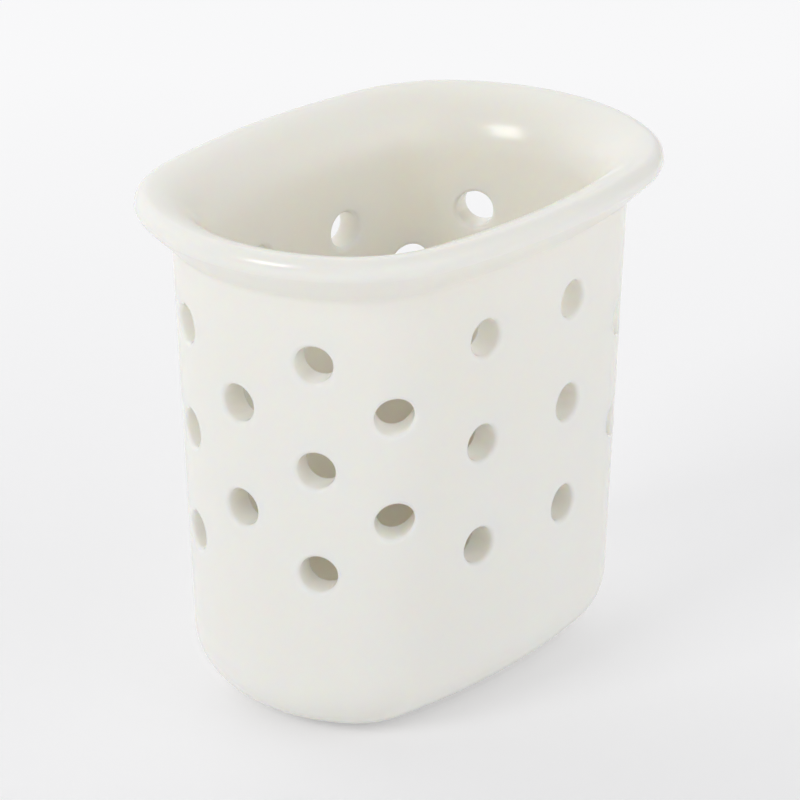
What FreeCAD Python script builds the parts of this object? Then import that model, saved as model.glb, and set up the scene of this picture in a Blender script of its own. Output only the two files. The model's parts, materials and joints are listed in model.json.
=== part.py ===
"""Draining container: a cast porcelain vessel with staggered drain holes, on four soft foot pads.

The vessel stands on the plane z = 0 with its long side along X, and +Z is up. Sizes are in millimetres.
"""
import FreeCAD, Part
import math
import os
import Sketcher
from FreeCAD import Placement, Rotation, Vector

# Driving dimensions: alias, value, meaning.
SIZES = [
    ("overall_height", 120.0, "rim top above the standing surface"),
    ("flare_height", 11.8, "rim top above the corner between wall and flare, the neck"),
    ("body_length", 111.6, "outside length at the neck"),
    ("body_width", 75.8, "outside width at the neck"),
    ("corner_radius", 26.7, "plan radius between end and side, at the neck"),
    ("end_arc_angle", 34.9, "turn of a blunt end's arc to each side of its middle, degrees"),
    ("side_arc_angle", 11.1, "turn of a bowed long side's arc to each side of its middle, degrees"),
    ("draft_angle", 2.0, "lean of the wall in degrees, narrowing downwards"),
    ("wall", 7.2, "wall thickness"),
    ("floor_thickness", 6.0, "floor thickness"),
    ("base_round", 16.2, "outside round between wall and base"),
    ("rim_overhang", 8.0, "rim beyond the neck, all round"),
    ("lip_radius", 2.8, "round of the rolled lip"),
    ("flare_radius", 14.0, "inside trumpet of the flare"),
    ("neck_round", 2.0, "hollow round between wall and flare"),
    ("hole_bore", 8.5, "drain holes in the wall"),
    ("hole_edge_round", 1.0, "softened edge of every drain hole, inside and outside"),
    ("top_row_drop", 15.2, "highest row of wall holes below the neck"),
    ("row_pitch", 24.9, "between the rows of one column"),
    ("end_column_angle", 26.4, "where the columns of three stand on the ends, degrees from X"),
    ("end_hole_angle", 20.0, "direction in which those columns are pierced, degrees from X"),
    ("corner_column_angle", 59.6, "where the columns of two stand on the corners, degrees from X"),
    ("corner_hole_angle", 38.0, "direction in which the corner columns are pierced, degrees from X"),
    ("side_column_spacing", 30.0, "between the two columns of a long side"),
    ("drain_bore", 6.5, "drain holes in the floor"),
    ("pad_lift", 0.6, "gap under the base that lets the water out"),
    ("pad_diameter", 9.0, "soft foot pad"),
    ("pad_spacing", 18.0, "between the front and the rear pads"),
    ("pad_recess", 1.2, "depth of the pad's seat in the base"),
    ("pad_clearance", 0.1, "between the pad's side and its seat"),
    ("pad_edge_round", 0.4, "lower edge of the pad"),
    ("joint_margin", 1.0, "flat strip of the swept wall section that meets the floor plate"),
]

# Values worked out from the driving dimensions: alias, formula.
DERIVED = [
    ("neck_height", "overall_height - flare_height"),
    ("top_row_height", "neck_height - top_row_drop"),
    ("draft_run", "tan(draft_angle * 1 deg) * (neck_height - pad_lift)"),
    ("foot_round", "min(base_round; corner_radius - draft_run - 2 * joint_margin)"),
    ("inner_round", "max(foot_round - wall; joint_margin)"),
    ("foot_inset", "draft_run + foot_round + joint_margin"),
    ("flat_width", "body_width - 2 * (draft_run + foot_round)"),
    ("end_slope", "tan(end_arc_angle / 2 * 1 deg)"),
    ("side_slope", "tan(side_arc_angle / 2 * 1 deg)"),
    ("length_left", "body_length / 2 - corner_radius"),
    ("width_left", "body_width / 2 - corner_radius"),
    ("corner_x", "(length_left - width_left * end_slope) / (1 - end_slope * side_slope)"),
    ("corner_y", "(width_left - length_left * side_slope) / (1 - end_slope * side_slope)"),
    ("end_bow_radius", "corner_radius + corner_y / sin(end_arc_angle * 1 deg)"),
    ("side_bow_radius", "corner_radius + corner_x / sin(side_arc_angle * 1 deg)"),
    ("end_centre", "body_length / 2 - end_bow_radius"),
    ("side_centre", "side_bow_radius - body_width / 2"),
    ("side_column_angle", "acos(side_column_spacing / 2 / side_bow_radius) / 1 deg"),
    ("hole_depth", "draft_run + 3 * wall"),
    ("pad_thickness", "pad_lift + pad_recess"),
]

# Rows of a column, counted in pitches down from the highest row.
FULL_COLUMN = [0.0, 1.0, 2.0]
SHORT_COLUMN = [0.5, 1.5]

# Numbers by which a sketch knows the points of its geometry, its own axes and its origin.
START, END, CENTRE = range(1, 4)
X_AXIS, Y_AXIS = range(-1, -3, -1)
ORIGIN = (X_AXIS, START)

# The upright axis of a sketch on the YZ plane, and a turn about it that holds until it is bound.
UPRIGHT = Vector(0, 1, 0)
FIRST_TURN = 45
SAME_RADIUS = 1e-6

doc = FreeCAD.newDocument("draining_container")
sheet = doc.addObject("Spreadsheet::Sheet", "sizes")


def fill_sheet():
    """Write the driving dimensions and the formulas into the sheet, one row each."""
    for row, (alias, value, meaning) in enumerate(SIZES, start=1):
        sheet.set(f"A{row}", meaning)
        sheet.set(f"B{row}", str(value))
        sheet.setAlias(f"B{row}", alias)
    doc.recompute()
    for row, (alias, formula) in enumerate(DERIVED, start=len(SIZES) + 1):
        sheet.set(f"B{row}", "=" + formula)
        sheet.setAlias(f"B{row}", alias)
        doc.recompute()


def size(alias):
    """Present value of a sheet cell as a plain number."""
    value = getattr(sheet, alias)
    return float(getattr(value, "Value", value))


def bind(owner, path, expression):
    """Bind a property to an expression in which a leading $ marks a sheet alias."""
    owner.setExpression(path, expression.replace("$", "sizes."))


def plane(body, role):
    """One of the body's own origin planes."""
    return next(item for item in body.Origin.OriginFeatures if item.Role == role)


def new_body(label):
    body = doc.addObject("PartDesign::Body", label)
    body.Label = label
    return body


def new_sketch(body, role, name):
    sketch = body.newObject("Sketcher::SketchObject", name)
    sketch.AttachmentSupport = [(plane(body, role), "")]
    sketch.MapMode = "FlatFace"
    return sketch


def dimension(sketch, name, expression, *constraint):
    """Add a named driving constraint and bind it to the sheet."""
    index = sketch.addConstraint(Sketcher.Constraint(*constraint))
    sketch.renameConstraint(index, name)
    bind(sketch, f"Constraints.{name}", expression)


def relate(sketch, *constraint):
    """Add a geometric constraint."""
    sketch.addConstraint(Sketcher.Constraint(*constraint))


def arc(centre, radius, start, end):
    """Arc of a circle in a sketch plane, counter-clockwise between two angles in radians."""
    circle = Part.Circle(Vector(centre[0], centre[1], 0), Vector(0, 0, 1), radius)
    return Part.ArcOfCircle(circle, start, end)


def line(start, end):
    return Part.LineSegment(Vector(start[0], start[1], 0), Vector(end[0], end[1], 0))


def oval(sketch, inset=None):
    """Draw the plan outline of the neck, or one moved inwards by the size named as its inset.

    Blunt ends and bowed sides meet in tighter corners. The first arc starts at the +X end, where the
    wall section is drawn.
    """
    inward = size(inset) if inset else 0.0
    less = f" - ${inset}" if inset else ""
    end_r = size("end_bow_radius") - inward
    side_r = size("side_bow_radius") - inward
    corner_r = size("corner_radius") - inward
    end_x, side_y = size("end_centre"), size("side_centre")
    corner_x, corner_y = size("corner_x"), size("corner_y")
    half, full = math.pi, 2 * math.pi
    low = math.radians(size("end_arc_angle"))
    high = half / 2 - math.radians(size("side_arc_angle"))
    sketch.addGeometry([
        arc((end_x, 0), end_r, 0, low),
        arc((corner_x, corner_y), corner_r, low, high),
        arc((0, -side_y), side_r, high, half - high),
        arc((-corner_x, corner_y), corner_r, half - high, half - low),
        arc((-end_x, 0), end_r, half - low, half + low),
        arc((-corner_x, -corner_y), corner_r, half + low, half + high),
        arc((0, side_y), side_r, half + high, full - high),
        arc((corner_x, -corner_y), corner_r, full - high, full - low),
        arc((end_x, 0), end_r, full - low, full),
    ])
    for first in range(8):
        relate(sketch, "Tangent", first, END, first + 1, START)
    relate(sketch, "Coincident", 8, END, 0, START)
    relate(sketch, "Coincident", 8, CENTRE, 0, CENTRE)
    relate(sketch, "PointOnObject", 0, START, X_AXIS)
    for end in (0, 4):
        relate(sketch, "PointOnObject", end, CENTRE, X_AXIS)
    for side in (2, 6):
        relate(sketch, "PointOnObject", side, CENTRE, Y_AXIS)
    for first, second in ((0, 4), (1, 3), (1, 5), (1, 7), (2, 6)):
        relate(sketch, "Equal", first, second)
    dimension(sketch, "end_radius", f"$end_bow_radius{less}", "Radius", 0, end_r)
    dimension(sketch, "corner_radius", f"$corner_radius{less}", "Radius", 1, corner_r)
    dimension(sketch, "side_radius", f"$side_bow_radius{less}", "Radius", 2, side_r)
    dimension(sketch, "right_end", "$end_centre", "DistanceX", *ORIGIN, 0, CENTRE, end_x)
    dimension(sketch, "left_end", "$end_centre", "DistanceX", 4, CENTRE, *ORIGIN, end_x)
    dimension(sketch, "rear_side", "$side_centre", "DistanceY", 2, CENTRE, *ORIGIN, side_y)
    dimension(sketch, "front_side", "$side_centre", "DistanceY", *ORIGIN, 6, CENTRE, side_y)


def wall_section(sketch):
    """Draw the section of wall, rolled rim and rounded foot at the +X end, in X and Z."""
    neck = (size("body_length") / 2, size("neck_height"))
    lean = math.radians(size("draft_angle"))
    wall, lip_r, flare_r = size("wall"), size("lip_radius"), size("flare_radius")
    base_z, base_r = size("pad_lift"), size("foot_round")
    floor_z = base_z + size("floor_thickness")
    inner_r = size("inner_round")
    joint_x = neck[0] - size("foot_inset")
    foot_x = neck[0] - size("draft_run")
    lip = (neck[0] + size("rim_overhang") - lip_r, size("overall_height") - lip_r)
    flare_x = neck[0] - wall + flare_r
    sweep = math.acos((flare_x - lip[0]) / (flare_r - lip_r))
    flare_z = lip[1] - (flare_r - lip_r) * math.sin(sweep)
    under = math.atan2(lip[1] - neck[1], lip[0] - neck[0]) - math.asin(
        lip_r / math.hypot(lip[0] - neck[0], lip[1] - neck[1]))
    lip_start = (lip[0] + lip_r * math.sin(under), lip[1] - lip_r * math.cos(under))
    neck_r = size("neck_round")
    quarter, half = math.pi / 2, math.pi
    crest = quarter / 2
    sketch.addGeometry([
        line((joint_x, floor_z), (joint_x, base_z)),
        line((joint_x, base_z), (foot_x - base_r, base_z)),
        arc((foot_x - base_r, base_z + base_r), base_r, -quarter, -lean),
        line((foot_x, base_z + base_r), (neck[0], neck[1] - neck_r / 2)),
        arc((neck[0] + neck_r, neck[1] - neck_r / 2), neck_r, quarter + under, half - lean),
        line((neck[0] + neck_r / 3, neck[1] + neck_r / 3), lip_start),
        arc(lip, lip_r, under - quarter, crest),
        arc(lip, lip_r, crest, half - sweep),
        arc((flare_x, flare_z), flare_r, half - sweep, half - lean),
        line((neck[0] - wall, flare_z), (foot_x - wall, floor_z + inner_r)),
        arc((foot_x - base_r, floor_z + inner_r), inner_r, -quarter, -lean),
        line((foot_x - base_r, floor_z), (joint_x, floor_z)),
    ])
    (cut, base, foot, outside, hollow, under_rim, roll, crown, trumpet, inside, inner_foot,
     floor) = range(12)
    corner = sketch.addGeometry(Part.Point(Vector(neck[0], neck[1], 0)), True)
    relate(sketch, "Coincident", cut, END, base, START)
    relate(sketch, "Tangent", base, END, foot, START)
    relate(sketch, "Tangent", foot, END, outside, START)
    relate(sketch, "Tangent", outside, END, hollow, END)
    relate(sketch, "Tangent", hollow, START, under_rim, START)
    relate(sketch, "Tangent", under_rim, END, roll, START)
    relate(sketch, "Coincident", roll, END, crown, START)
    relate(sketch, "Coincident", roll, CENTRE, crown, CENTRE)
    relate(sketch, "Tangent", crown, END, trumpet, START)
    relate(sketch, "Tangent", trumpet, END, inside, START)
    relate(sketch, "Tangent", inside, END, inner_foot, END)
    relate(sketch, "Tangent", inner_foot, START, floor, START)
    relate(sketch, "Coincident", floor, END, cut, START)
    relate(sketch, "Vertical", cut)
    relate(sketch, "Horizontal", base)
    relate(sketch, "Horizontal", floor)
    relate(sketch, "Parallel", outside, inside)
    relate(sketch, "PointOnObject", corner, START, outside)
    relate(sketch, "PointOnObject", corner, START, under_rim)
    dimension(sketch, "neck_x", "$body_length / 2", "DistanceX", *ORIGIN, corner, START, neck[0])
    dimension(sketch, "neck_z", "$neck_height", "DistanceY", *ORIGIN, corner, START, neck[1])
    dimension(sketch, "lean", "(90 - $draft_angle) * 1 deg", "Angle", X_AXIS, START, outside, START,
              quarter - lean)
    dimension(sketch, "wall", "$wall", "Distance", inside, START, outside, wall)
    dimension(sketch, "base_z", "$pad_lift", "DistanceY", *ORIGIN, base, START, base_z)
    dimension(sketch, "floor", "$floor_thickness", "DistanceY", cut, END, cut, START, floor_z - base_z)
    dimension(sketch, "joint_x", "$body_length / 2 - $foot_inset", "DistanceX", *ORIGIN, cut, END, joint_x)
    dimension(sketch, "foot_round", "$foot_round", "Radius", foot, base_r)
    dimension(sketch, "inner_round", "$inner_round", "Radius", inner_foot, inner_r)
    dimension(sketch, "hollow_round", "$neck_round", "Radius", hollow, neck_r)
    dimension(sketch, "lip_round", "$lip_radius", "Radius", roll, lip_r)
    dimension(sketch, "crest_z", "$overall_height - $lip_radius * (1 - sin(45 deg))",
              "DistanceY", *ORIGIN, roll, END, lip[1] + lip_r * math.sin(crest))
    dimension(sketch, "trumpet_round", "$flare_radius", "Radius", trumpet, flare_r)
    dimension(sketch, "lip_x", "$body_length / 2 + $rim_overhang - $lip_radius",
              "DistanceX", *ORIGIN, roll, CENTRE, lip[0])
    dimension(sketch, "lip_z", "$overall_height - $lip_radius",
              "DistanceY", *ORIGIN, roll, CENTRE, lip[1])


def main_shapes(body):
    """Sweep the wall section round the outline and close it with the floor plate."""
    outline = new_sketch(body, "XY_Plane", "neck_outline")
    bind(outline, "AttachmentOffset.Base.z", "$neck_height")
    oval(outline)
    section = new_sketch(body, "XZ_Plane", "wall_section")
    wall_section(section)
    doc.recompute()
    wall = body.newObject("PartDesign::AdditivePipe", "wall_and_rim")
    wall.Profile = section
    wall.Spine = outline
    doc.recompute()
    plate = new_sketch(body, "XY_Plane", "floor_outline")
    bind(plate, "AttachmentOffset.Base.z", "$pad_lift")
    oval(plate, "foot_inset")
    floor = body.newObject("PartDesign::Pad", "floor")
    floor.Profile = plate
    bind(floor, "Length", "$floor_thickness")
    doc.recompute()


def hole_column(body, name, rows, x, y, angle):
    """Cut one column of level wall holes at x, y on the neck outline, pierced at an angle from X.

    The circles lie on an upright plane that stands one wall thickness outside the outline.
    """
    sketch = new_sketch(body, "YZ_Plane", f"{name}_circles")
    sketch.AttachmentOffset = Placement(Vector(0, 0, 0), Rotation(UPRIGHT, FIRST_TURN))
    bind(sketch, "AttachmentOffset.Base.x", f"{y} + $wall * sin({angle} * 1 deg)")
    bind(sketch, "AttachmentOffset.Base.z", f"{x} + $wall * cos({angle} * 1 deg)")
    bind(sketch, "AttachmentOffset.Rotation.Angle", f"{angle}")
    bore = size("hole_bore")
    for index, row in enumerate(rows):
        height = size("top_row_height") - row * size("row_pitch")
        hole = sketch.addGeometry(Part.Circle(Vector(0, height, 0), Vector(0, 0, 1), bore / 2))
        relate(sketch, "PointOnObject", hole, CENTRE, Y_AXIS)
        dimension(sketch, f"bore_{index}", "$hole_bore", "Diameter", hole, bore)
        dimension(sketch, f"height_{index}", f"$top_row_height - {row} * $row_pitch",
                  "DistanceY", *ORIGIN, hole, CENTRE, height)
    pocket = body.newObject("PartDesign::Pocket", name)
    pocket.Profile = sketch
    bind(pocket, "Length", "$hole_depth")
    doc.recompute()
    return pocket


def mirrored(body, name, pockets, roles):
    """Repeat pockets in one or two of the body's planes of symmetry."""
    pattern = body.newObject("PartDesign::MultiTransform", name)
    pattern.Originals = pockets
    steps = []
    for role in roles:
        step = body.newObject("PartDesign::Mirrored", f"{name}_{role[:2].lower()}")
        step.MirrorPlane = (plane(body, role), [""])
        steps.append(step)
    pattern.Transformations = steps
    body.Tip = pattern
    doc.recompute()


def wall_holes(body):
    """Cut the staggered wall holes: columns of three and of two take turns round the vessel."""
    end = hole_column(body, "end_column", SHORT_COLUMN, "$body_length / 2", "0", "0")
    mirrored(body, "both_ends", [end], ["YZ_Plane"])
    flank = hole_column(body, "flank_column", FULL_COLUMN,
                        "$end_centre + $end_bow_radius * cos($end_column_angle * 1 deg)",
                        "$end_bow_radius * sin($end_column_angle * 1 deg)",
                        "$end_hole_angle")
    corner = hole_column(body, "corner_column", SHORT_COLUMN,
                         "$corner_x + $corner_radius * cos($corner_column_angle * 1 deg)",
                         "$corner_y + $corner_radius * sin($corner_column_angle * 1 deg)",
                         "$corner_hole_angle")
    side = hole_column(body, "side_column", FULL_COLUMN,
                       "$side_column_spacing / 2",
                       "$side_bow_radius * sin($side_column_angle * 1 deg) - $side_centre",
                       "$side_column_angle")
    mirrored(body, "all_quarters", [flank, corner, side], ["XZ_Plane", "YZ_Plane"])


def floor_pocket(body, name, height, depth, bore, x, y):
    """Cut one round pocket downwards from a height, at x, y from the middle of the floor."""
    sketch = new_sketch(body, "XY_Plane", f"{name}_circle")
    bind(sketch, "AttachmentOffset.Base.x", x)
    bind(sketch, "AttachmentOffset.Base.y", y)
    bind(sketch, "AttachmentOffset.Base.z", height)
    hole = sketch.addGeometry(Part.Circle(Vector(0, 0, 0), Vector(0, 0, 1), size("pad_diameter") / 2))
    relate(sketch, "Coincident", hole, CENTRE, *ORIGIN)
    dimension(sketch, "bore", bore, "Diameter", hole, size("pad_diameter"))
    pocket = body.newObject("PartDesign::Pocket", name)
    pocket.Profile = sketch
    bind(pocket, "Length", depth)
    doc.recompute()
    return pocket


def floor_holes(body):
    """Cut the floor drains, in three rows across the flat of the floor, and the foot pads' seats.

    The seats lie as far out along X as the centres of the plan outline's corners.
    """
    drain = ("$pad_lift + $floor_thickness", "$pad_lift + $floor_thickness", "$drain_bore")
    seat = ("$pad_lift + $pad_recess", "$pad_lift + $pad_recess", "$pad_diameter + 2 * $pad_clearance")
    floor_pocket(body, "middle_drain", *drain, "0", "0")
    row = floor_pocket(body, "row_drain", *drain, "$corner_x * 3 / 4", "0")
    mirrored(body, "drain_row", [row], ["YZ_Plane"])
    outer = floor_pocket(body, "outer_drain", *drain, "$corner_x * 3 / 8", "$flat_width / 4")
    pad_seat = floor_pocket(body, "pad_seat", *seat, "$corner_x", "$pad_spacing / 2")
    mirrored(body, "outer_drains_and_seats", [outer, pad_seat], ["XZ_Plane", "YZ_Plane"])


def soften_hole_edges(body):
    """Round both edges of every drain hole, as the glaze leaves them."""
    base = body.Tip
    shape = base.Shape
    radii = [size("hole_bore") / 2, size("drain_bore") / 2]
    edges = set()
    for face in shape.Faces:
        if not isinstance(face.Surface, Part.Cylinder):
            continue
        if min(abs(face.Surface.Radius - radius) for radius in radii) > SAME_RADIUS:
            continue
        for number, edge in enumerate(shape.Edges, start=1):
            if isinstance(edge.Curve, Part.Line):
                continue
            if any(edge.isSame(other) for other in face.Edges):
                edges.add(number)
    rounds = body.newObject("PartDesign::Fillet", "soft_hole_edges")
    rounds.Base = (base, [f"Edge{number}" for number in sorted(edges)])
    bind(rounds, "Radius", "$hole_edge_round")
    body.Tip = rounds
    doc.recompute()
    return len(edges)


def foot_pad(label, sign_x, sign_y):
    """One soft disc, seated in the base at the corner given by the signs of X and Y."""
    body = new_body(label)
    sketch = new_sketch(body, "XY_Plane", f"{label}_outline")
    disc = sketch.addGeometry(Part.Circle(Vector(0, 0, 0), Vector(0, 0, 1), size("pad_diameter") / 2))
    relate(sketch, "Coincident", disc, CENTRE, *ORIGIN)
    dimension(sketch, "diameter", "$pad_diameter", "Diameter", disc, size("pad_diameter"))
    pad = body.newObject("PartDesign::Pad", f"{label}_disc")
    pad.Profile = sketch
    bind(pad, "Length", "$pad_thickness")
    doc.recompute()
    lowest = min(range(len(pad.Shape.Edges)), key=lambda index: pad.Shape.Edges[index].CenterOfMass.z)
    edge = body.newObject("PartDesign::Fillet", f"{label}_edge")
    edge.Base = (pad, [f"Edge{lowest + 1}"])
    bind(edge, "Radius", "$pad_edge_round")
    body.Tip = edge
    bind(body, "Placement.Base.x", f"{sign_x} * $corner_x")
    bind(body, "Placement.Base.y", f"{sign_y} * $pad_spacing / 2")
    doc.recompute()
    return body


def porcelain_vessel():
    """The casting: wall, rim and floor, then its holes, with a check that the cuts took material."""
    body = new_body("porcelain_vessel")
    main_shapes(body)
    solid_volume = body.Shape.Volume
    wall_holes(body)
    wall_cut = solid_volume - body.Shape.Volume
    floor_holes(body)
    floor_cut = solid_volume - wall_cut - body.Shape.Volume
    edges = soften_hole_edges(body)
    print(f"wall holes took {wall_cut:.0f} mm3, floor holes {floor_cut:.0f} mm3, {edges} edges softened")
    if min(wall_cut, floor_cut) < size("hole_bore") ** 2 * size("wall"):
        raise RuntimeError("the holes missed the wall or the floor")
    return body


def check(bodies):
    """Stop if any object failed or any piece isn't one valid solid."""
    for item in doc.Objects:
        if "Invalid" in item.State or "Error" in item.State:
            raise RuntimeError(f"{item.Name} failed: {item.State}")
    for body in bodies:
        if body.Shape.isNull() or not body.Shape.isValid() or len(body.Shape.Solids) != 1:
            raise RuntimeError(f"{body.Label} is not one valid solid")


fill_sheet()
pieces = [porcelain_vessel()]
for row, sign_y in (("front", -1), ("rear", 1)):
    for hand, sign_x in (("left", -1), ("right", 1)):
        pieces.append(foot_pad(f"foot_pad_{row}_{hand}", sign_x, sign_y))
check(pieces)
os.makedirs("parts", exist_ok=True)
for piece in pieces:
    piece.Shape.exportStep(f"parts/{piece.Label}.step")
    print(f"{piece.Label}: {piece.Shape.Volume:.1f} mm3")
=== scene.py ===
"""Draining container: a cast and glazed porcelain vessel with staggered drain holes, on silicone feet.

Everything is in metres, in the frame of the solid model: long side along X, +Z up, standing on z = 0.
"""
import json
import math

import bmesh
import bpy
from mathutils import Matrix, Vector

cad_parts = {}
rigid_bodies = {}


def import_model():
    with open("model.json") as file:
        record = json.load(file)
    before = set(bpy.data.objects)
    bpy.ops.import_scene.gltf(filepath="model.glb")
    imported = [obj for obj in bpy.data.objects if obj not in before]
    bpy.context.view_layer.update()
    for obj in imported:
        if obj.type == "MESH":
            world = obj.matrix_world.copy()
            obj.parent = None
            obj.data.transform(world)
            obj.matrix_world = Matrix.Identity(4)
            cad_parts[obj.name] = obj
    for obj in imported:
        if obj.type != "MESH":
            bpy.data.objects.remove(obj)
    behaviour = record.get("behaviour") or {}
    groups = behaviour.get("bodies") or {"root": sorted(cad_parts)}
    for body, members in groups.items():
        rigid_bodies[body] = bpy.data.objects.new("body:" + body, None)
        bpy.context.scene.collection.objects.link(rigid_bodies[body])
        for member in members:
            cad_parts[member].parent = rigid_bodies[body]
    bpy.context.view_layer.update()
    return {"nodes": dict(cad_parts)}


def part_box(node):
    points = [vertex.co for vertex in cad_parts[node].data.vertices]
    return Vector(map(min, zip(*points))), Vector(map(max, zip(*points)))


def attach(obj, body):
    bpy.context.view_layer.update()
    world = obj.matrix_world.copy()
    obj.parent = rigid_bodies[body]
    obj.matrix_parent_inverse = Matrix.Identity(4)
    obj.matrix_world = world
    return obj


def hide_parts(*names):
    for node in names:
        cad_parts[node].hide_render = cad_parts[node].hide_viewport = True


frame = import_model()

MM = 0.001
VESSEL = "porcelain_vessel"
PADS = sorted(name for name in frame["nodes"] if name.startswith("foot_pad"))
BODY = "root"

# Sizes of the casting.
LEAN = math.radians(2.0)
WALL = 7.2 * MM
FLOOR = 6.0 * MM
BASE_ROUND = 16.2 * MM
FLARE_HEIGHT = 11.8 * MM
RIM_OVERHANG = 8.0 * MM
LIP_RADIUS = 2.8 * MM
FLARE_RADIUS = 14.0 * MM
NECK_ROUND = 2.0 * MM
CORNER_RADIUS = 26.7 * MM
END_ARC = math.radians(34.9)
SIDE_ARC = math.radians(11.1)

# The drain holes, and the foot pads' seats.
HOLE_RADIUS = 4.25 * MM
DRAIN_RADIUS = 3.25 * MM
DRAIN_REACH = 0.75
EDGE_ROUND = 1.0 * MM
TOP_ROW_DROP = 15.2 * MM
ROW_PITCH = 24.9 * MM
FULL_COLUMN = (0.0, 1.0, 2.0)
SHORT_COLUMN = (0.5, 1.5)
FLANK_ANGLE = math.radians(26.4)
FLANK_PIERCE = math.radians(20.0)
CORNER_ANGLE = math.radians(59.6)
CORNER_PIERCE = math.radians(38.0)
SIDE_SPACING = 30.0 * MM
SEAT_RADIUS = 4.6 * MM
SEAT_DEPTH = 1.2 * MM
PAD_SPACING = 18.0 * MM
FOOT_EDGE = 0.35 * MM
DISH_INSET = 1.3 * MM
DISH_DEPTH = 0.3 * MM
DISH_TAPER = 0.85

# Heights and half sizes that follow from the solid model's box.
low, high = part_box(VESSEL)
BASE = low.z
RIM_TOP = high.z
NECK = RIM_TOP - FLARE_HEIGHT
FLOOR_TOP = BASE + FLOOR
HALF_LENGTH = high.x - RIM_OVERHANG
HALF_WIDTH = high.y - RIM_OVERHANG
TOP_ROW = NECK - TOP_ROW_DROP

# Plan outline at the neck: blunt ends, bowed sides and tighter corners, tangent to each other.
END_SLOPE = math.tan(END_ARC / 2)
SIDE_SLOPE = math.tan(SIDE_ARC / 2)
LENGTH_LEFT = HALF_LENGTH - CORNER_RADIUS
WIDTH_LEFT = HALF_WIDTH - CORNER_RADIUS
CORNER_X = (LENGTH_LEFT - WIDTH_LEFT * END_SLOPE) / (1 - END_SLOPE * SIDE_SLOPE)
CORNER_Y = (WIDTH_LEFT - LENGTH_LEFT * SIDE_SLOPE) / (1 - END_SLOPE * SIDE_SLOPE)
END_RADIUS = CORNER_RADIUS + CORNER_Y / math.sin(END_ARC)
SIDE_RADIUS = CORNER_RADIUS + CORNER_X / math.sin(SIDE_ARC)
END_CENTRE = HALF_LENGTH - END_RADIUS
SIDE_CENTRE = SIDE_RADIUS - HALF_WIDTH
CORNER_END = math.pi / 2 - SIDE_ARC
END_RUN = END_RADIUS * END_ARC
CORNER_RUN = END_RUN + CORNER_RADIUS * (CORNER_END - END_ARC)
QUARTER_RUN = CORNER_RUN + SIDE_RADIUS * SIDE_ARC
SIDE_ANGLE = math.acos(SIDE_SPACING / 2 / SIDE_RADIUS)

# Mesh spacing: about one cell, and never fewer than four to half the height of a patch round a hole. The
# runs are how far a patch reaches along the wall on either side of its hole.
CELL = 1.56 * MM
LEAST_CELL = CELL / 4
HALF_PATCH_CELLS = 4
ROW_STEP = ROW_PITCH / 4
PATCH_RUN = 8.0 * MM
CORNER_PATCH_RUN = (7.0 * MM, 13.6 * MM)
PATCH_LINES = 11
PATCH_SHARES = (0.3, 0.45, 0.75)

# Steps round each arc and along each bore, and how near counts as touching.
FOOT_STEPS = 16
HOLLOW_STEPS = 5
UNDER_RIM_STEPS = 6
LIP_STEPS = 20
FLARE_STEPS = 16
INNER_FOOT_STEPS = 12
EDGE_STEPS = 5
BORE_STEPS = 3
DRAIN_STEPS = 40
FOOT_SIDES = 64
FOOT_EDGE_STEPS = 4
SLIDE_STEPS = 6
NEAR = 0.02 * MM
SEAM = 0.002 * MM
DOWNWARD = -0.9
SMOOTH_ANGLE = math.radians(40)


def facing(angle):
    """Centre and radius of the outline's arc whose outward normal has this angle from X, 0 to 90 degrees."""
    if angle < END_ARC:
        return Vector((END_CENTRE, 0, 0)), END_RADIUS
    if angle > CORNER_END:
        return Vector((0, -SIDE_CENTRE, 0)), SIDE_RADIUS
    return Vector((CORNER_X, CORNER_Y, 0)), CORNER_RADIUS


def run_to(angle):
    """Length along the neck outline from its +X end to the place with this normal angle."""
    run = END_RADIUS * min(angle, END_ARC)
    run += CORNER_RADIUS * max(0.0, min(angle, CORNER_END) - END_ARC)
    return run + SIDE_RADIUS * max(0.0, angle - CORNER_END)


def plan(point):
    """Distance of a point from the neck outline, the outward normal there, and the run along the outline."""
    corner_angle = math.atan2(abs(point.y) - CORNER_Y, point.x - CORNER_X)
    centre, radius = facing(corner_angle)
    side = math.copysign(1.0, point.y)
    away = Vector((point.x, abs(point.y), 0)) - centre
    away.z = 0
    angle = math.atan2(away.y, away.x)
    normal = Vector((math.cos(angle), side * math.sin(angle), 0))
    return away.length - radius, normal, side * run_to(angle)


def wall_offset(z, depth):
    """Offset of the leaning wall from the neck outline at a height: depth 0 outside, 1 inside."""
    return (z - NECK) * math.tan(LEAN) - depth * WALL / math.cos(LEAN)


def slide_to_wall(point, direction, depth):
    """Move a point along a level direction until it lies on the outside or the inside of the wall."""
    for _ in range(SLIDE_STEPS):
        distance, normal, _run = plan(point)
        point = point - direction * ((distance - wall_offset(point.z, depth)) / normal.dot(direction))
    return point


def start_piece(name):
    """Open a new object in edit mode that holds one vertex at the origin, selected."""
    bpy.ops.object.select_all(action="DESELECT")
    bpy.ops.mesh.primitive_plane_add(size=MM)
    piece = bpy.context.object
    piece.name = piece.data.name = name
    bpy.ops.object.mode_set(mode="EDIT")
    bpy.ops.mesh.select_mode(type="VERT")
    bpy.ops.mesh.merge(type="CENTER")
    return piece


def pick(piece):
    """Make this the only selected object, and the active one."""
    bpy.ops.object.select_all(action="DESELECT")
    piece.select_set(True)
    bpy.context.view_layer.objects.active = piece


def in_section(offset, z):
    """Place in the front middle of the vessel of a point of the wall's section."""
    return Vector((0, -HALF_WIDTH - offset, z))


def draw_line(start, end, steps):
    """Extrude the selected end of the section from one point of it to another."""
    step = (in_section(*end) - in_section(*start)) / steps
    for _ in range(steps):
        bpy.ops.mesh.extrude_region_move(TRANSFORM_OT_translate={"value": step})


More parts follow.
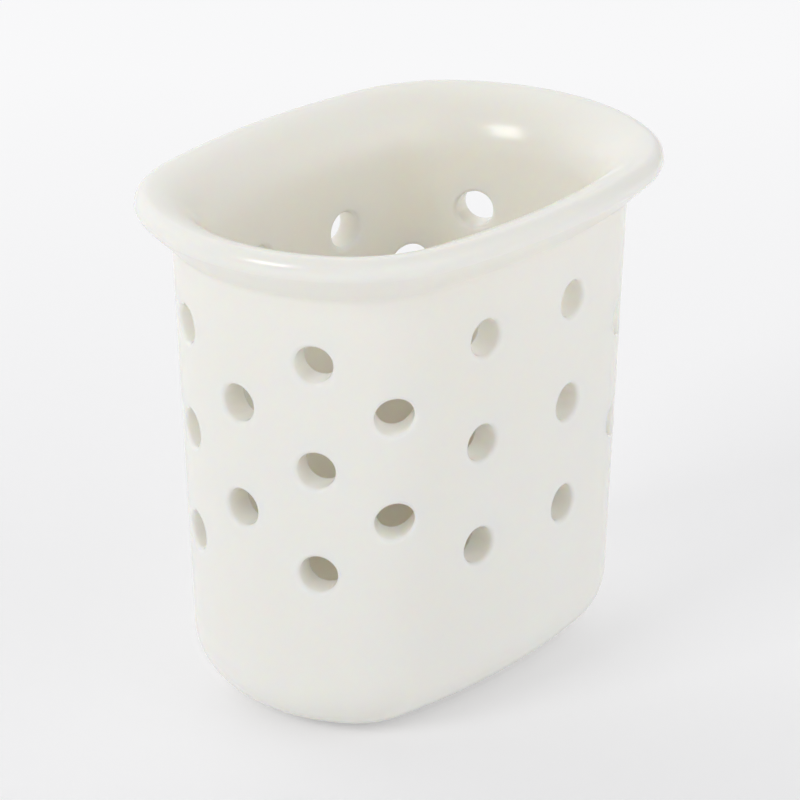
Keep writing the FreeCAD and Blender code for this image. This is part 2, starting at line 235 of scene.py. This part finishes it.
def draw_arc(centre, turn, steps):
    """Spin the selected end of the section about a centre, outwards and up when the turn is positive."""
    bpy.ops.mesh.spin(steps=steps, angle=turn, center=in_section(*centre), axis=(1, 0, 0))


def on_circle(centre, radius, angle):
    """A point of the section on a circle, at an angle from level outwards."""
    return (centre[0] + radius * math.cos(angle), centre[1] + radius * math.sin(angle))


def draw_section():
    """Draw the wall's section: rounded foot, wall, flared rim with its rolled lip, inside, inner foot."""
    lean_tan = math.tan(LEAN)
    quarter = math.pi / 2
    foot_z = BASE + BASE_ROUND
    foot = (wall_offset(foot_z, 0) - BASE_ROUND / math.cos(LEAN), foot_z)
    inner_round = BASE_ROUND - WALL
    inner_z = FLOOR_TOP + inner_round
    inner_foot = (wall_offset(inner_z, 1) - inner_round / math.cos(LEAN), inner_z)

    lip = (RIM_OVERHANG - LIP_RADIUS, RIM_TOP - LIP_RADIUS)
    reach = math.hypot(lip[0], lip[1] - NECK)
    under = math.atan2(lip[1] - NECK, lip[0]) - math.asin(LIP_RADIUS / reach)
    bend = quarter - LEAN - under
    ease = NECK_ROUND * math.tan(bend / 2)
    hollow_start = (-ease * math.sin(LEAN), NECK - ease * math.cos(LEAN))
    hollow = (hollow_start[0] + NECK_ROUND * math.cos(LEAN), hollow_start[1] - NECK_ROUND * math.sin(LEAN))
    hollow_end = (ease * math.cos(under), NECK + ease * math.sin(under))
    lip_start = on_circle(lip, LIP_RADIUS, under - quarter)

    # The trumpet touches the inside of the wall and the lip's round.
    span = FLARE_RADIUS - LIP_RADIUS
    across = (FLARE_RADIUS - WALL) / math.cos(LEAN) - NECK * lean_tan - lip[0]
    slope = lean_tan * across - lip[1]
    square = 1 + lean_tan ** 2
    flare_z = (-slope - math.sqrt(slope ** 2 - square * (across ** 2 + lip[1] ** 2 - span ** 2))) / square
    flare = (across + lip[0] + lean_tan * flare_z, flare_z)
    lip_end = math.atan2(lip[1] - flare[1], lip[0] - flare[0])
    inside_top = on_circle(flare, FLARE_RADIUS, math.pi - LEAN)

    rows = [TOP_ROW + ROW_STEP - step * ROW_STEP for step in range(PATCH_LINES)]
    bpy.ops.transform.translate(value=in_section(foot[0], BASE))
    draw_arc(foot, quarter - LEAN, FOOT_STEPS)
    draw_wall(on_circle(foot, BASE_ROUND, -LEAN), hollow_start, rows[::-1], 0)
    draw_arc(hollow, -bend, HOLLOW_STEPS)
    draw_line(hollow_end, lip_start, UNDER_RIM_STEPS)
    draw_arc(lip, lip_end - (under - quarter), LIP_STEPS)
    draw_arc(flare, math.pi - LEAN - lip_end, FLARE_STEPS)
    draw_wall(inside_top, on_circle(inner_foot, inner_round, -LEAN), rows, 1)
    draw_arc(inner_foot, LEAN - quarter, INNER_FOOT_STEPS)


def draw_wall(start, end, rows, depth):
    """Draw one straight side of the wall, with a stop at every line of the hole patches."""
    stops = [start] + [(wall_offset(z, depth), z) for z in rows] + [end]
    for first, second in zip(stops, stops[1:]):
        draw_line(first, second, max(HALF_PATCH_CELLS, round(abs(second[1] - first[1]) / CELL)))


class Hole:
    """A drain hole of the +X half: its middle on the neck outline, its axis and its patch of wall."""

    def __init__(self, angle, pierce, row, side, patch):
        centre, radius = facing(angle)
        z = TOP_ROW - row * ROW_PITCH
        place = centre + radius * Vector((math.cos(angle), math.sin(angle), 0))
        self.middle = Vector((place.x, side * place.y, z))
        self.axis = Vector((math.cos(pierce), side * math.sin(pierce), 0))
        self.across = Vector((0, 0, 1)).cross(self.axis)
        run = side * run_to(angle)
        self.runs = sorted((run - side * patch[0], run + side * patch[1]))
        self.heights = (z - ROW_STEP, z + ROW_STEP)

    def holds(self, run, z, margin):
        """Whether a place on the wall lies in the patch, grown by a margin."""
        inside_run = self.runs[0] - margin < run < self.runs[1] + margin
        return inside_run and self.heights[0] - margin < z < self.heights[1] + margin

    def turn_of(self, run, z):
        """Direction of a place on the wall from the middle of the patch."""
        return math.atan2(z - sum(self.heights) / 2, run - sum(self.runs) / 2)

    def point(self, turn, radius, depth, sunk):
        """A point of the hole's edge: on a circle round the axis, sunk into the wall from either side."""
        place = self.middle + radius * (math.cos(turn) * self.across + math.sin(turn) * Vector((0, 0, 1)))
        place = slide_to_wall(place, self.axis, depth)
        return place + self.axis * (sunk if depth else -sunk)


def half_holes():
    """All drain holes of the +X half, column by column."""
    columns = [
        (0.0, 0.0, SHORT_COLUMN, (1,), (PATCH_RUN, PATCH_RUN)),
        (FLANK_ANGLE, FLANK_PIERCE, FULL_COLUMN, (1, -1), (PATCH_RUN, PATCH_RUN)),
        (CORNER_ANGLE, CORNER_PIERCE, SHORT_COLUMN, (1, -1), CORNER_PATCH_RUN),
        (SIDE_ANGLE, SIDE_ANGLE, FULL_COLUMN, (1, -1), (PATCH_RUN, PATCH_RUN)),
    ]
    return [Hole(angle, pierce, row, side, patch)
            for angle, pierce, rows, sides, patch in columns for side in sides for row in rows]


def sweep_section(holes):
    """Spin the section round the arcs of the +X half, from the front middle to the rear middle."""
    arcs = [
        ((0, SIDE_CENTRE, 0), SIDE_RADIUS, CORNER_RUN, QUARTER_RUN, -1),
        ((CORNER_X, -CORNER_Y, 0), CORNER_RADIUS, END_RUN, CORNER_RUN, -1),
        ((END_CENTRE, 0, 0), END_RADIUS, 0.0, END_RUN, -1),
        ((END_CENTRE, 0, 0), END_RADIUS, 0.0, END_RUN, 1),
        ((CORNER_X, CORNER_Y, 0), CORNER_RADIUS, END_RUN, CORNER_RUN, 1),
        ((0, -SIDE_CENTRE, 0), SIDE_RADIUS, CORNER_RUN, QUARTER_RUN, 1),
    ]
    edges = {run for hole in holes for run in (*hole.runs, plan(hole.middle)[2])}
    for centre, radius, near_run, far_run, side in arcs:
        ends = sorted((side * near_run, side * far_run))
        stops = [ends[0]]
        for run in sorted(edges):
            if stops[-1] + LEAST_CELL < run < ends[1] - LEAST_CELL:
                stops.append(run)
        stops.append(ends[1])
        for first, second in zip(stops, stops[1:]):
            steps = max(1, round((second - first) / CELL))
            bpy.ops.mesh.spin(steps=steps, angle=(second - first) / radius, center=centre, axis=(0, 0, -1))


def edit_mesh(piece):
    """The mesh that is open in edit mode."""
    mesh = bmesh.from_edit_mesh(piece.data)
    mesh.verts.ensure_lookup_table()
    return mesh


def open_patches(piece, holes):
    """Take out the wall inside every patch, and mark each patch's rim with its hole, side and turn."""
    mesh = edit_mesh(piece)
    hole_layer = mesh.verts.layers.int.new("hole")
    depth_layer = mesh.verts.layers.int.new("depth")
    turn_layer = mesh.verts.layers.float.new("turn")
    bpy.ops.mesh.select_all(action="DESELECT")
    for vertex in mesh.verts:
        distance, _normal, run = plan(vertex.co)
        depth = round((wall_offset(vertex.co.z, 0) - distance) / WALL)
        if depth not in (0, 1) or abs(distance - wall_offset(vertex.co.z, depth)) > NEAR:
            continue
        for number, hole in enumerate(holes, start=1):
            if hole.holds(run, vertex.co.z, -NEAR):
                vertex.select = True
            elif hole.holds(run, vertex.co.z, NEAR):
                vertex[hole_layer] = number
                vertex[depth_layer] = depth
                vertex[turn_layer] = hole.turn_of(run, vertex.co.z)
    mesh.select_flush_mode()
    bpy.ops.mesh.delete(type="VERT")
    even_turns(piece)


def even_turns(piece):
    """Give the points round every patch turns at even steps, starting level with the hole's middle."""
    mesh = edit_mesh(piece)
    hole_layer = mesh.verts.layers.int["hole"]
    depth_layer = mesh.verts.layers.int["depth"]
    turn_layer = mesh.verts.layers.float["turn"]
    rims = {}
    for vertex in mesh.verts:
        if vertex[hole_layer]:
            rims.setdefault((vertex[hole_layer], vertex[depth_layer]), []).append(vertex)
    for rim in rims.values():
        rim.sort(key=lambda vertex: vertex[turn_layer])
        level = min(range(len(rim)), key=lambda index: abs(rim[index][turn_layer]))
        for index, vertex in enumerate(rim):
            vertex[turn_layer] = 2 * math.pi * (index - level) / len(rim)
    mesh.select_mode = {"EDGE"}
    for edge in mesh.edges:
        edge.select = edge.is_boundary and all(vertex[hole_layer] for vertex in edge.verts)
    mesh.select_flush_mode()
    bmesh.update_edit_mesh(piece.data)


def next_ring(piece, holes, place):
    """Extrude the selected rims and put every new point where place says."""
    bpy.ops.mesh.extrude_region()
    mesh = edit_mesh(piece)
    hole_layer = mesh.verts.layers.int["hole"]
    depth_layer = mesh.verts.layers.int["depth"]
    turn_layer = mesh.verts.layers.float["turn"]
    for vertex in mesh.verts:
        if vertex.select:
            hole = holes[vertex[hole_layer] - 1]
            vertex.co = place(hole, vertex[turn_layer], vertex[depth_layer], vertex.co)
    bmesh.update_edit_mesh(piece.data)


def rolled_edge(bore):
    """Radius and depth of each ring that rolls the edge of a bore over, from the surface inwards."""
    tilts = [step / EDGE_STEPS * math.pi / 2 for step in range(EDGE_STEPS + 1)]
    return [(bore + EDGE_ROUND * (1 - math.sin(tilt)), EDGE_ROUND * (1 - math.cos(tilt))) for tilt in tilts]


def pierce_wall(piece, holes):
    """Close each patch round its hole, roll both edges of the hole over and run the bore through."""
    open_patches(piece, holes)
    bpy.ops.mesh.select_mode(type="EDGE")
    for share in PATCH_SHARES:
        next_ring(piece, holes, lambda hole, turn, depth, old: towards_rim(hole, turn, depth, old, share))
    for radius, sunk in rolled_edge(HOLE_RADIUS):
        next_ring(piece, holes, lambda hole, turn, depth, old: hole.point(turn, radius, depth, sunk))
    keep_outside_rims(piece)
    for part in range(BORE_STEPS, 0, -1):
        next_ring(piece, holes, lambda hole, turn, depth, old: old.lerp(
            hole.point(turn, HOLE_RADIUS, 1, EDGE_ROUND), 1 / part))
    bpy.ops.mesh.select_all(action="SELECT")
    bpy.ops.mesh.remove_doubles(threshold=NEAR)


def towards_rim(hole, turn, depth, old, share):
    """Part of the way from a patch's point to the hole's rim, on the wall."""
    rim = hole.point(turn, HOLE_RADIUS + EDGE_ROUND, depth, 0.0)
    place = old.lerp(rim, share)
    return slide_to_wall(place, plan(place)[1], depth)


def keep_outside_rims(piece):
    """Leave only the rims on the outside of the wall selected."""
    mesh = edit_mesh(piece)
    depth_layer = mesh.verts.layers.int["depth"]
    for edge in mesh.edges:
        edge.select = edge.select and all(vertex[depth_layer] == 0 for vertex in edge.verts)
    mesh.select_flush_mode()
    bmesh.update_edit_mesh(piece.data)


def mirror_half(piece):
    """Mirror the +X half and join the halves."""
    bpy.ops.object.mode_set(mode="OBJECT")
    mirror = piece.modifiers.new("other_half", "MIRROR")
    mirror.merge_threshold = NEAR
    bpy.ops.object.modifier_apply(modifier=mirror.name)
    for layer in ("hole", "depth", "turn"):
        piece.data.attributes.remove(piece.data.attributes[layer])


def drain_places():
    """Places of the floor drains: one in the middle, two in its row, and four beside them."""
    flat_row = (HALF_WIDTH - wall_foot_inset()) / 2
    places = [Vector((0, 0, 0))]
    for side in (1, -1):
        reach = side * CORNER_X * DRAIN_REACH
        places.append(Vector((reach, 0, 0)))
        places += [Vector((reach / 2, row * flat_row, 0)) for row in (1, -1)]
    return places


def wall_foot_inset():
    """How far the flat of the base lies inside the neck outline."""
    return math.tan(LEAN) * (NECK - BASE) + BASE_ROUND


def add_ring(place, radius, z):
    """Add a level ring of edges, selected alone."""
    bpy.ops.mesh.select_all(action="DESELECT")
    bpy.ops.mesh.primitive_circle_add(vertices=DRAIN_STEPS, radius=radius, location=(place.x, place.y, z))


def widen_ring(scale, rise):
    """Extrude the selected ring, then scale it about its own middle and lift it."""
    bpy.ops.mesh.extrude_region_move(TRANSFORM_OT_translate={"value": (0, 0, rise)})
    bpy.ops.transform.resize(value=(scale, scale, 1))


def add_drain(place):
    """Add the tube of one floor drain, with both edges rolled over and a flat collar at each end."""
    rounds = rolled_edge(DRAIN_RADIUS)
    collar = DRAIN_RADIUS + 2 * EDGE_ROUND
    top = [(collar, FLOOR_TOP)] + [(radius, FLOOR_TOP - sunk) for radius, sunk in rounds]
    bottom = [(radius, BASE + sunk) for radius, sunk in rounds[::-1]] + [(collar, BASE)]
    rings = top + bottom
    add_ring(place, *rings[0])
    for (radius, z), (next_radius, next_z) in zip(rings, rings[1:]):
        widen_ring(next_radius / radius, next_z - z)


def add_seat(place):
    """Add the shallow round seat of one foot pad in the base."""
    add_ring(place, SEAT_RADIUS, BASE)
    widen_ring(1.0, SEAT_DEPTH)
    bpy.ops.mesh.edge_face_add()


def copy_along(places):
    """Copy the shape that holds the selection from the first place to each of the others."""
    bpy.ops.mesh.select_linked()
    for before, place in zip(places, places[1:]):
        bpy.ops.mesh.duplicate_move(TRANSFORM_OT_translate={"value": place - before})


def add_floor_openings(piece):
    """Model a drain and a pad's seat in a mesh of their own, copy them and join them to the vessel."""
    start_piece("floor_openings")
    bpy.ops.mesh.delete(type="VERT")
    drains = drain_places()
    add_drain(drains[0])
    copy_along(drains)
    seats = [Vector((side * CORNER_X, row * PAD_SPACING / 2, 0)) for side in (1, -1) for row in (1, -1)]
    add_seat(seats[0])
    copy_along(seats)
    bpy.ops.object.mode_set(mode="OBJECT")
    piece.select_set(True)
    bpy.context.view_layer.objects.active = piece
    bpy.ops.object.join()
    bpy.ops.object.mode_set(mode="EDIT")


def close_floor(piece):
    """Fill the floor's upper face and the base between the foot, the drains and the pads' seats."""
    bpy.ops.mesh.select_mode(type="EDGE")
    for level in (FLOOR_TOP, BASE):
        bpy.ops.mesh.select_all(action="DESELECT")
        mesh = edit_mesh(piece)
        for edge in mesh.edges:
            if edge.is_boundary and all(abs(v.co.z - level) < NEAR for v in edge.verts):
                edge.select = True
        mesh.select_flush_mode()
        bmesh.update_edit_mesh(piece.data)
        bpy.ops.mesh.fill(use_beauty=True)
    bpy.ops.object.mode_set(mode="OBJECT")


def finish_piece(piece, material, slot, *nodes):
    """Close seams, turn the faces outwards, smooth, give the piece its material and hand it to its body; the
    slot is not used.
    """
    pick(piece)
    bpy.ops.object.mode_set(mode="EDIT")
    bpy.ops.mesh.select_all(action="SELECT")
    bpy.ops.mesh.remove_doubles(threshold=SEAM)
    bpy.ops.mesh.normals_make_consistent(inside=False)
    bpy.ops.object.mode_set(mode="OBJECT")
    bpy.ops.object.shade_smooth_by_angle(angle=SMOOTH_ANGLE)
    piece.data.materials.clear()
    piece.data.materials.append(material)
    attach(piece, BODY)
    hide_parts(*nodes)


def make_vessel(material):
    """The vessel: section, sweep, holes, mirrored half, floor."""
    piece = start_piece("vessel")
    holes = half_holes()
    draw_section()
    bpy.ops.mesh.select_all(action="SELECT")
    sweep_section(holes)
    pierce_wall(piece, holes)
    mirror_half(piece)
    add_floor_openings(piece)
    close_floor(piece)
    finish_piece(piece, material, "glazed_porcelain", VESSEL)


def middle_of(node):
    """Middle of the box of a node of the solid model."""
    return sum(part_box(node), Vector()) / 2


def model_foot(node):
    """Model one foot in a node's place: a disc with soft edges and a shallow dish underneath."""
    lowest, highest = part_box(node)
    bpy.ops.object.select_all(action="DESELECT")
    bpy.ops.mesh.primitive_cylinder_add(vertices=FOOT_SIDES, radius=(highest.x - lowest.x) / 2,
                                        depth=highest.z - lowest.z, location=middle_of(node))
    foot = bpy.context.object
    bpy.ops.object.transform_apply(location=True)
    bpy.ops.object.mode_set(mode="EDIT")
    bpy.ops.mesh.select_mode(type="FACE")
    bpy.ops.mesh.select_all(action="DESELECT")
    mesh = edit_mesh(foot)
    for face in mesh.faces:
        face.select = face.normal.z < DOWNWARD
    bmesh.update_edit_mesh(foot.data)
    bpy.ops.mesh.inset(thickness=DISH_INSET)
    bpy.ops.mesh.extrude_region_move(TRANSFORM_OT_translate={"value": (0, 0, DISH_DEPTH)})
    bpy.ops.transform.resize(value=(DISH_TAPER, DISH_TAPER, 1))
    bpy.ops.object.mode_set(mode="OBJECT")
    bevel = foot.modifiers.new("soft_edges", "BEVEL")
    bevel.width = FOOT_EDGE
    bevel.segments = FOOT_EDGE_STEPS
    bpy.ops.object.modifier_apply(modifier=bevel.name)
    return foot


def make_feet(material):
    """Four moulded silicone feet, one modelled and three copied, each in its seat."""
    first = model_foot(PADS[0])
    feet = [first]
    for node in PADS[1:]:
        pick(first)
        bpy.ops.object.duplicate()
        foot = bpy.context.object
        foot.location = middle_of(node) - middle_of(PADS[0])
        bpy.ops.object.transform_apply(location=True)
        feet.append(foot)
    for node, foot in zip(PADS, feet):
        foot.name = foot.data.name = node.replace("foot_pad", "silicone_foot")
        finish_piece(foot, material, "silicone", node)


def srgb(code):
    """Linear colour of an sRGB hex value."""
    parts = [int(code[index:index + 2], 16) / 255 for index in (1, 3, 5)]
    return (*[part / 12.92 if part <= 0.04045 else ((part + 0.055) / 1.055) ** 2.4 for part in parts], 1.0)


def add_node(tree, kind, values=(), links=(), **settings):
    """Add a node with its settings, socket values and links from other nodes' outputs."""
    node = tree.nodes.new(kind)
    for name, value in settings.items():
        setattr(node, name, value)
    for socket, value in dict(values).items():
        node.inputs[socket].default_value = value
    for socket, output in dict(links).items():
        tree.links.new(output, node.inputs[socket])
    return node


def new_material(name):
    """An empty material and its node tree."""
    material = bpy.data.materials.new(name)
    material.use_nodes = True
    material.node_tree.nodes.clear()
    return material, material.node_tree


# Sizes of the glaze's clouding, waves and lower line, of the silicone's grain, and how far light spreads
# inside each of the two materials.
CLOUD_SIZE = 28.0 * MM
WAVE_SIZE = 16.0 * MM
WAVE_DEPTH = 0.1 * MM
DRIP_SIZE = 9.0 * MM
DRIP_HEIGHT = 0.5 * MM
GRAIN_SIZE = 0.35 * MM
GRAIN_DEPTH = 0.03 * MM
PORCELAIN_GLOW = 7.0 * MM
SILICONE_GLOW = 2.0 * MM


def glazed_porcelain():
    """Slip-cast porcelain under a clear glaze, wiped off the base.

    The body is a warm white that lets light several millimetres in, so thin edges glow warm. The glaze gives
    soft-edged highlights and lies in faint waves. The bare base is matt and greyer, up to an uneven line.
    """
    material, tree = new_material("glazed_porcelain")
    place = add_node(tree, "ShaderNodeTexCoord").outputs["Object"]
    cloud = add_node(tree, "ShaderNodeTexNoise", {"Scale": 1 / CLOUD_SIZE, "Detail": 2.0}, {"Vector": place})
    glaze = add_node(tree, "ShaderNodeMix", links={"Factor": cloud.outputs["Fac"]}, data_type="RGBA")
    glaze.inputs["A"].default_value = srgb("#FAF7EE")
    glaze.inputs["B"].default_value = srgb("#FCFAF4")

    height = add_node(tree, "ShaderNodeSeparateXYZ", links={"Vector": place}).outputs["Z"]
    drip = add_node(tree, "ShaderNodeTexNoise", {"Scale": 1 / DRIP_SIZE, "Detail": 1.0}, {"Vector": place})
    line = add_node(tree, "ShaderNodeMath", {1: DRIP_HEIGHT, 2: BASE},
                    {0: drip.outputs["Fac"]}, operation="MULTIPLY_ADD")
    bare = add_node(tree, "ShaderNodeMath", links={0: height, 1: line.outputs["Value"]},
                    operation="LESS_THAN")
    colour = add_node(tree, "ShaderNodeMix", {"B": srgb("#E6E1D8")},
                      {"Factor": bare.outputs["Value"], "A": glaze.outputs["Result"]}, data_type="RGBA")
    polish = add_node(tree, "ShaderNodeMapRange", {"To Min": 0.18, "To Max": 0.25},
                      {"Value": cloud.outputs["Fac"]})
    rough = add_node(tree, "ShaderNodeMix", {"B": 0.75},
                     {"Factor": bare.outputs["Value"], "A": polish.outputs["Result"]})

    wave = add_node(tree, "ShaderNodeTexNoise", {"Scale": 1 / WAVE_SIZE, "Detail": 1.0}, {"Vector": place})
    relief = add_node(tree, "ShaderNodeBump", {"Strength": 0.2, "Distance": WAVE_DEPTH},
                      {"Height": wave.outputs["Fac"]})
    shader = add_node(tree, "ShaderNodeBsdfPrincipled",
                      {"IOR": 1.5, "Subsurface Weight": 0.7, "Subsurface Scale": PORCELAIN_GLOW,
                       "Subsurface Radius": (1.0, 0.75, 0.5)},
                      {"Base Color": colour.outputs["Result"], "Roughness": rough.outputs["Result"],
                       "Normal": relief.outputs["Normal"]})
    add_node(tree, "ShaderNodeOutputMaterial", links={"Surface": shader.outputs["BSDF"]})
    return material


def moulded_silicone():
    """Clear-milky silicone rubber, moulded in a matt tool.

    It looks soft and dull, a slightly translucent grey-white. The tool's grain is drawn coarser than it
    is, so that it shows.
    """
    material, tree = new_material("moulded_silicone")
    place = add_node(tree, "ShaderNodeTexCoord").outputs["Object"]
    grain = add_node(tree, "ShaderNodeTexNoise", {"Scale": 1 / GRAIN_SIZE, "Detail": 3.0}, {"Vector": place})
    colour = add_node(tree, "ShaderNodeMix", links={"Factor": grain.outputs["Fac"]}, data_type="RGBA")
    colour.inputs["A"].default_value = srgb("#DAD8D4")
    colour.inputs["B"].default_value = srgb("#E6E5E1")
    relief = add_node(tree, "ShaderNodeBump", {"Strength": 0.4, "Distance": GRAIN_DEPTH},
                      {"Height": grain.outputs["Fac"]})
    shader = add_node(tree, "ShaderNodeBsdfPrincipled",
                      {"Roughness": 0.55, "IOR": 1.41, "Subsurface Weight": 0.5,
                       "Subsurface Scale": SILICONE_GLOW, "Subsurface Radius": (1.0, 1.0, 1.0)},
                      {"Base Color": colour.outputs["Result"], "Normal": relief.outputs["Normal"]})
    add_node(tree, "ShaderNodeOutputMaterial", links={"Surface": shader.outputs["BSDF"]})
    return material


def pale_floor():
    """Matt white studio paper with painted light: paler towards the back, and a white glow for rays that see
    it that lightens the shadows seen.
    """
    material, tree = new_material("matt_studio_paper")
    place = add_node(tree, "ShaderNodeTexCoord").outputs["Object"]
    back = add_node(tree, "ShaderNodeVectorMath", {1: -light_from(VIEW_AZIMUTH, 0.0)}, {0: place},
                    operation="DOT_PRODUCT")
    far = add_node(tree, "ShaderNodeMapRange", {"From Min": FLOOR_FADE[0], "From Max": FLOOR_FADE[1]},
                   {"Value": back.outputs["Value"]}).outputs["Result"]
    # Painted falloff of the light: the paper's colour pales towards the back.
    colour = add_node(tree, "ShaderNodeMix", {"A": srgb("#F8F8FA"), "B": srgb("#FEFEFF")},
                      {"Factor": far}, data_type="RGBA")
    paper = add_node(tree, "ShaderNodeBsdfDiffuse", links={"Color": colour.outputs["Result"]})
    # Painted light: a white glow for rays that see the floor, with a bigger share towards the back, lightens
    # the cast shadow as seen.
    white = add_node(tree, "ShaderNodeEmission", {"Color": srgb("#FEFEFF"), "Strength": 1.0})
    share = add_node(tree, "ShaderNodeMapRange", {"To Min": FLOOR_WHITE[0], "To Max": FLOOR_WHITE[1]},
                     {"Value": far})
    seen = add_node(tree, "ShaderNodeMath", links={0: seen_directly(tree), 1: share.outputs["Result"]},
                    operation="MULTIPLY")
    floor = add_node(tree, "ShaderNodeMixShader",
                     links={0: seen.outputs["Value"], 1: paper.outputs["BSDF"], 2: white.outputs["Emission"]})
    add_node(tree, "ShaderNodeOutputMaterial", links={"Surface": floor.outputs["Shader"]})
    return material


def seen_directly(tree):
    """One for rays by which the backdrop is seen, straight or in a gloss or glass, and zero for its light."""
    path = add_node(tree, "ShaderNodeLightPath").outputs
    gloss = add_node(tree, "ShaderNodeMath", links={0: path["Is Camera Ray"], 1: path["Is Glossy Ray"]},
                     operation="MAXIMUM")
    return add_node(tree, "ShaderNodeMath", links={0: gloss.outputs["Value"], 1: path["Is Transmission Ray"]},
                    operation="MAXIMUM").outputs["Value"]


# Camera of the photograph, worked out from its outline and hole centres: degrees, metres and pixels.
VIEW_AZIMUTH = -49.38
VIEW_ELEVATION = 23.45
VIEW_DISTANCE = 902.7 * MM
VIEW_TARGET = Vector((0, 0, 60.0 * MM))
FRAME_PIXELS = 800
TARGET_PIXEL = (402.99, 414.22)
FOCAL_PIXELS = 3990.0
SENSOR = 36.0

# The studio: a tent of soft panels that blend into each other, each with its azimuth, elevation and
# brightness, and one soft box on the left that gives the highlights and lights the inside.
PANELS = [
    (-49.0, 15.0, 0.21),
    (10.0, 15.0, 1.38),
    (70.0, 15.0, 0.22),
    (130.0, 15.0, 0.58),
    (-170.0, 15.0, 0.92),
    (150.0, 55.0, 0.53),
]
PANEL_FALLOFF = 3.0
SOFT_BOX = (-98.0, 31.0)
SOFT_BOX_DISTANCE = 3.0
SOFT_BOX_SIZE = 1.1
SOFT_BOX_POWER = 29.0
FLOOR_SIZE = 6.0
# Painted light on the floor: the share of white glow near and far, and the span over which the glow and the
# paper's colour rise towards the back.
FLOOR_WHITE = (0.23, 0.76)
FLOOR_FADE = (-0.15, 0.42)


def light_from(azimuth, elevation):
    """Direction of a place seen from the vessel: azimuth in degrees from the front, elevation from level."""
    turn, lift = math.radians(azimuth), math.radians(elevation)
    return Vector((math.sin(turn) * math.cos(lift), -math.cos(turn) * math.cos(lift), math.sin(lift)))


def stand(name, data, direction, distance):
    """Put a camera or a lamp at a distance from the middle of the vessel, looking at it."""
    item = bpy.data.objects.new(name, data)
    bpy.context.collection.objects.link(item)
    item.location = VIEW_TARGET + direction * distance
    item.rotation_mode = "QUATERNION"
    item.rotation_quaternion = (-direction).to_track_quat("-Z", "Y")
    return item


def make_camera():
    """The camera of the photograph, with its principal point shifted to suit."""
    data = bpy.data.cameras.new("camera")
    data.sensor_width = SENSOR
    data.lens = SENSOR * FOCAL_PIXELS / FRAME_PIXELS
    data.shift_x = (FRAME_PIXELS / 2 - TARGET_PIXEL[0]) / FRAME_PIXELS
    data.shift_y = (TARGET_PIXEL[1] - FRAME_PIXELS / 2) / FRAME_PIXELS
    bpy.context.scene.camera = stand("camera", data, light_from(VIEW_AZIMUTH, VIEW_ELEVATION), VIEW_DISTANCE)


def make_tent():
    """Light from the soft panels; seen directly, the tent is an even pale backdrop."""
    world = bpy.data.worlds.new("studio_tent")
    bpy.context.scene.world = world
    world.use_nodes = True
    tree = world.node_tree
    tree.nodes.clear()
    place = add_node(tree, "ShaderNodeTexCoord").outputs["Generated"]
    sums = [add_node(tree, "ShaderNodeMath", {0: 0.0, 1: 0.0}, operation="ADD").outputs["Value"]]
    for azimuth, elevation, brightness in PANELS:
        turned = add_node(tree, "ShaderNodeVectorMath", {1: light_from(azimuth, elevation)}, {0: place},
                          operation="DOT_PRODUCT")
        ahead = add_node(tree, "ShaderNodeMath", {1: 0.0}, {0: turned.outputs["Value"]}, operation="MAXIMUM")
        fall = add_node(tree, "ShaderNodeMath", {1: PANEL_FALLOFF}, {0: ahead.outputs["Value"]},
                        operation="POWER")
        panel = add_node(tree, "ShaderNodeMath", {1: brightness}, {0: fall.outputs["Value"], 2: sums[-1]},
                         operation="MULTIPLY_ADD")
        sums.append(panel.outputs["Value"])
    light = add_node(tree, "ShaderNodeBackground", {"Color": srgb("#FFFFFF")}, {"Strength": sums[-1]})
    backdrop = add_node(tree, "ShaderNodeBackground", {"Color": srgb("#F9F9FB"), "Strength": 1.0})
    camera_ray = add_node(tree, "ShaderNodeLightPath").outputs["Is Camera Ray"]
    tent = add_node(tree, "ShaderNodeMixShader",
                    links={0: camera_ray, 1: light.outputs["Background"], 2: backdrop.outputs["Background"]})
    add_node(tree, "ShaderNodeOutputWorld", links={"Surface": tent.outputs["Shader"]})


def make_studio():
    """Floor, tent and soft box."""
    bpy.context.scene.view_settings.view_transform = "Standard"
    bpy.ops.object.select_all(action="DESELECT")
    bpy.ops.mesh.primitive_plane_add(size=FLOOR_SIZE)
    floor = bpy.context.object
    floor.name = "floor"
    floor.data.materials.append(pale_floor())
    make_tent()
    data = bpy.data.lights.new("soft_box", "AREA")
    data.size = SOFT_BOX_SIZE
    data.energy = SOFT_BOX_POWER
    stand("soft_box", data, light_from(*SOFT_BOX), SOFT_BOX_DISTANCE)


make_vessel(glazed_porcelain())
make_feet(moulded_silicone())
make_camera()
make_studio()
